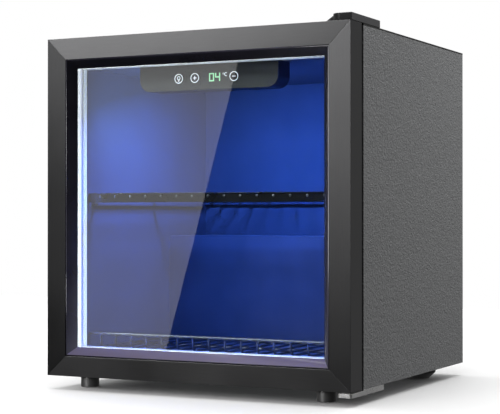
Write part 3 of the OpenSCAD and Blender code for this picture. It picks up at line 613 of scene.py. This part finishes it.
backLow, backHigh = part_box("back_panel")
sideScrewX = backHigh.x - screw["inset"] * mm
screwPlaces = [(side * sideScrewX, backLow.z + share * (backHigh.z - backLow.z))
               for side in (-1, 1) for share in screw["shares"]]
endHeights = (backLow.z + screw["topInset"] * mm, backHigh.z - screw["topInset"] * mm)
screwPlaces += [(side * screw["middle"] * mm, z) for side in (-1, 1) for z in endHeights]
bm = bmesh.new()
for x, z in screwPlaces:
    screwHeadInto(bm, (x, backHigh.y - screw["sunk"] * mm, z), backward, screw)
newPiece("back_screws", bm, hingeSteel, "cabinet")
print("small pieces made")


# Camera

cameraLook = {"place": (0.887, -1.79875, 0.2265), "turn": 27.01, "tilt": 0.346, "lens": 104.95,
              "sensor": 36, "farthest": 60}


def makeCamera(look):
    data = bpy.data.cameras.new("camera")
    data.lens = look["lens"]
    data.sensor_width = look["sensor"]
    data.clip_end = look["farthest"]
    camera = bpy.data.objects.new("camera", data)
    scene.collection.objects.link(camera)
    camera.location = look["place"]
    camera.rotation_euler = (math.radians(90 + look["tilt"]), 0, math.radians(look["turn"]))
    scene.camera = camera
    return camera


camera = makeCamera(cameraLook)


# Studio

studio = {"floorSize": 3.2, "sky": 1.0, "veil": 2.0, "roomFront": 0.02, "roomSide": 0.16, "roomTop": 0.6,
          "sideFrom": -0.35, "sideTo": 0.25, "topFrom": 0.35, "topTo": 0.9}


def makeFloor(look):
    mesh = bpy.data.meshes.new("floor")
    half = look["floorSize"] / 2
    corners = [(-half, -half, 0), (half, -half, 0), (half, half, 0), (-half, half, 0)]
    mesh.from_pydata(corners, [], [(0, 1, 2, 3)])
    floor = bpy.data.objects.new("floor", mesh)
    scene.collection.objects.link(floor)
    mat, tree, skin = newMaterial("floorPaper")
    setSockets(skin, {"Base Color": (0.92, 0.92, 0.92, 1), "Roughness": 0.8, "Specular IOR Level": 0.2})
    mesh.materials.append(mat)
    floor.visible_glossy = False
    floor.visible_diffuse = False
    return floor


def makeRoom(look):
    # white to the eye; as light it is bright above and behind, dim in front
    world = bpy.data.worlds.new("room")
    scene.world = world
    world.use_nodes = True
    tree = world.node_tree
    tree.nodes.clear()
    out = addNode(tree, "ShaderNodeOutputWorld")
    place = addNode(tree, "ShaderNodeTexCoord")
    split = addNode(tree, "ShaderNodeSeparateXYZ")
    tree.links.new(place.outputs["Generated"], split.inputs[0])
    back = spread(tree, split.outputs["Y"], look["roomFront"], look["roomSide"], look["sideFrom"],
                  look["sideTo"])
    up = spread(tree, split.outputs["Z"], 0, look["roomTop"], look["topFrom"], look["topTo"])
    total = addNode(tree, "ShaderNodeMath", {"operation": "ADD"})
    tree.links.new(back, total.inputs[0])
    tree.links.new(up, total.inputs[1])
    lit = addNode(tree, "ShaderNodeBackground", sockets={"Color": (1, 1, 1, 1)})
    tree.links.new(total.outputs[0], lit.inputs["Strength"])
    seen = addNode(tree, "ShaderNodeBackground", sockets={"Color": (1, 1, 1, 1), "Strength": look["sky"]})
    path = addNode(tree, "ShaderNodeLightPath")
    mix = addNode(tree, "ShaderNodeMixShader")
    tree.links.new(path.outputs["Is Camera Ray"], mix.inputs[0])
    tree.links.new(lit.outputs[0], mix.inputs[1])
    tree.links.new(seen.outputs[0], mix.inputs[2])
    tree.links.new(mix.outputs[0], out.inputs[0])


def makeLight(name, size, power, place, target, colour, glossy):
    data = bpy.data.lights.new(name, "AREA")
    data.shape = "RECTANGLE"
    data.size, data.size_y = size
    data.energy = power
    data.color = colour
    light = bpy.data.objects.new(name, data)
    scene.collection.objects.link(light)
    light.location = place
    light.rotation_euler = (Vector(target) - Vector(place)).to_track_quat("-Z", "Y").to_euler()
    light.visible_glossy = glossy
    return light


def lightOnly(light, group):
    light.light_linking.receiver_collection = group


def makeVeil(look):
    # a bright card in front, seen by the outer pane only, whose slanted edge shows in the glass
    glassLow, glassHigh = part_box("glass_outer")
    eye = Vector(cameraLook["place"])
    mirrored = Vector((eye.x, 2 * glassLow.y - eye.y, eye.z))
    wide = glassHigh.x - glassLow.x
    tall = glassHigh.z - glassLow.z
    highX = glassLow.x + look["highShare"] * wide
    lowX = glassLow.x + look["lowShare"] * wide
    past = look["past"]
    slant = (highX - lowX) / tall * past
    sideX = glassLow.x - look["side"]
    corners = [(highX + slant, glassHigh.z + past), (lowX - slant, glassLow.z - past),
               (sideX, glassLow.z - past), (sideX, glassHigh.z + past)]
    reach = (look["cardY"] - mirrored.y) / (glassLow.y - mirrored.y)
    spots = [mirrored + (Vector((x, glassLow.y, z)) - mirrored) * reach for x, z in corners]
    mesh = bpy.data.meshes.new("veilCard")
    mesh.from_pydata(spots, [], [(0, 1, 2, 3)])
    mat, tree, skin = newMaterial("veilCard")
    setSockets(skin, {"Base Color": (0, 0, 0, 1), "Emission Color": (1, 0.99, 0.97, 1),
                      "Emission Strength": look["strength"]})
    mesh.materials.append(mat)
    card = bpy.data.objects.new("veilCard", mesh)
    scene.collection.objects.link(card)
    card.visible_camera = False
    card.visible_diffuse = False
    card.visible_shadow = False
    return card


def groupOf(name, members):
    group = bpy.data.collections.new(name)
    for member in members:
        group.objects.link(member)
    return group


fridgeGroup = groupOf("fridgeGroup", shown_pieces())
stileGroup = groupOf("stileGroup", [cadNodes["door_stile_hinge"], cadNodes["door_stile_latch"]])
plateGroup = groupOf("plateGroup", [cadNodes["bottom_hinge_plate"]])
fasciaGroup = groupOf("fasciaGroup", [cadNodes["control_fascia"]])
feetGroup = groupOf("feetGroup", [cadNodes["foot_left"], cadNodes["foot_right"]])
linerGroup = groupOf("linerGroup", [cadNodes["inner_liner"]])
frameGroup = groupOf("frameGroup", [cadNodes["door_inner_frame"], cadNodes["glass_spacer"]])
paneGroup = groupOf("paneGroup", [cadNodes["glass_outer"]])
floor = makeFloor(studio)
floorGroup = groupOf("floorGroup", [floor])
makeRoom(studio)
card = makeVeil({"highShare": 0.672, "lowShare": 0.376, "past": 0.1, "side": 0.3, "cardY": -2.4,
                 "strength": studio["veil"]})
lightOnly(card, paneGroup)

lampLow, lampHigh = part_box("lamp_diffuser")
lampY = (lampLow.y + lampHigh.y) / 2
lampSize = (lampHigh.x - lampLow.x, 0.02)
blue = (0.05, 0.16, 1.0)
paleBlue = (0.16, 0.34, 1.0)
white = (1, 1, 1)
# Each light reaches one group only: several even out the tones of single parts.
# name: group lit, size, watts, place, target, colour, seen in reflections
lights = {
    "topSoftbox": (fridgeGroup, (3.2, 3.2), 170, (0.1, 0.3, 2.6), (0, 0, 0), white, True),
    "frontSoftbox": (fridgeGroup, (1.5, 0.7), 48, (-1.9, -2.4, 1.75), (0, -0.2, 0.4), white, True),
    "stileLight": (stileGroup, (0.6, 1.0), 3.5, (-0.95, -2.5, 0.7), (0.1, -0.2, 0.3), white, True),
    "sideFill": (fridgeGroup, (0.7, 0.7), 77, (1.25, 0.75, 1.45), (0.2, 0.1, 0.3), white, False),
    "stripLight": (frameGroup, (0.1, 0.2), 4.6, (0.22, -0.52, 0.09), (-0.17, -0.2, 0.14), white, False),
    "plateLight": (plateGroup, (0.5, 0.3), 4.5, (-0.3, -1.3, 0.25), (0.2, -0.2, 0.01), white, True),
    "floorTop": (floorGroup, (2.4, 2.4), 43, (0, 0, 2.6), (0, 0, 0), white, True),
    "fasciaLight": (fasciaGroup, (0.6, 0.4), 9, (-0.5, -1.5, 0.5), (0, -0.17, 0.4), white, False),
    "feetLight": (feetGroup, (0.8, 0.2), 26, (-0.6, -1.6, 0.25), (0, -0.17, 0.01), white, True),
    "floorPanel_right": (floorGroup, (2.0, 1.0), 3, (2.2, 0, 0.9), (0, 0, 0), white, True),
    "floorPanel_left": (floorGroup, (2.0, 1.0), 30, (-2.2, 0, 0.9), (0, 0, 0), white, True),
    "floorPanel_rear": (floorGroup, (2.0, 1.0), 18, (0, 2.2, 0.9), (0, 0, 0), white, True),
    "floorPanel_front": (floorGroup, (2.0, 1.0), 34, (0, -2.2, 0.9), (0, 0, 0), white, True),
    "insideLight": (fridgeGroup, lampSize, 11, (0.03, lampY, lampLow.z - 0.001), (0.09, lampY + 0.1, 0), blue,
                    False),
    "cornerLight": (linerGroup, (0.14, 0.03), 0.42, (-0.07, -0.1, 0.33), (-0.17, -0.04, 0.43), paleBlue,
                    False),
}
for name, (group, size, watts, place, target, colour, glossy) in lights.items():
    lightOnly(makeLight(name, size, watts, place, target, colour, glossy), group)

scene.view_settings.view_transform = "Standard"
scene.view_settings.look = "None"
print("camera and lights set")
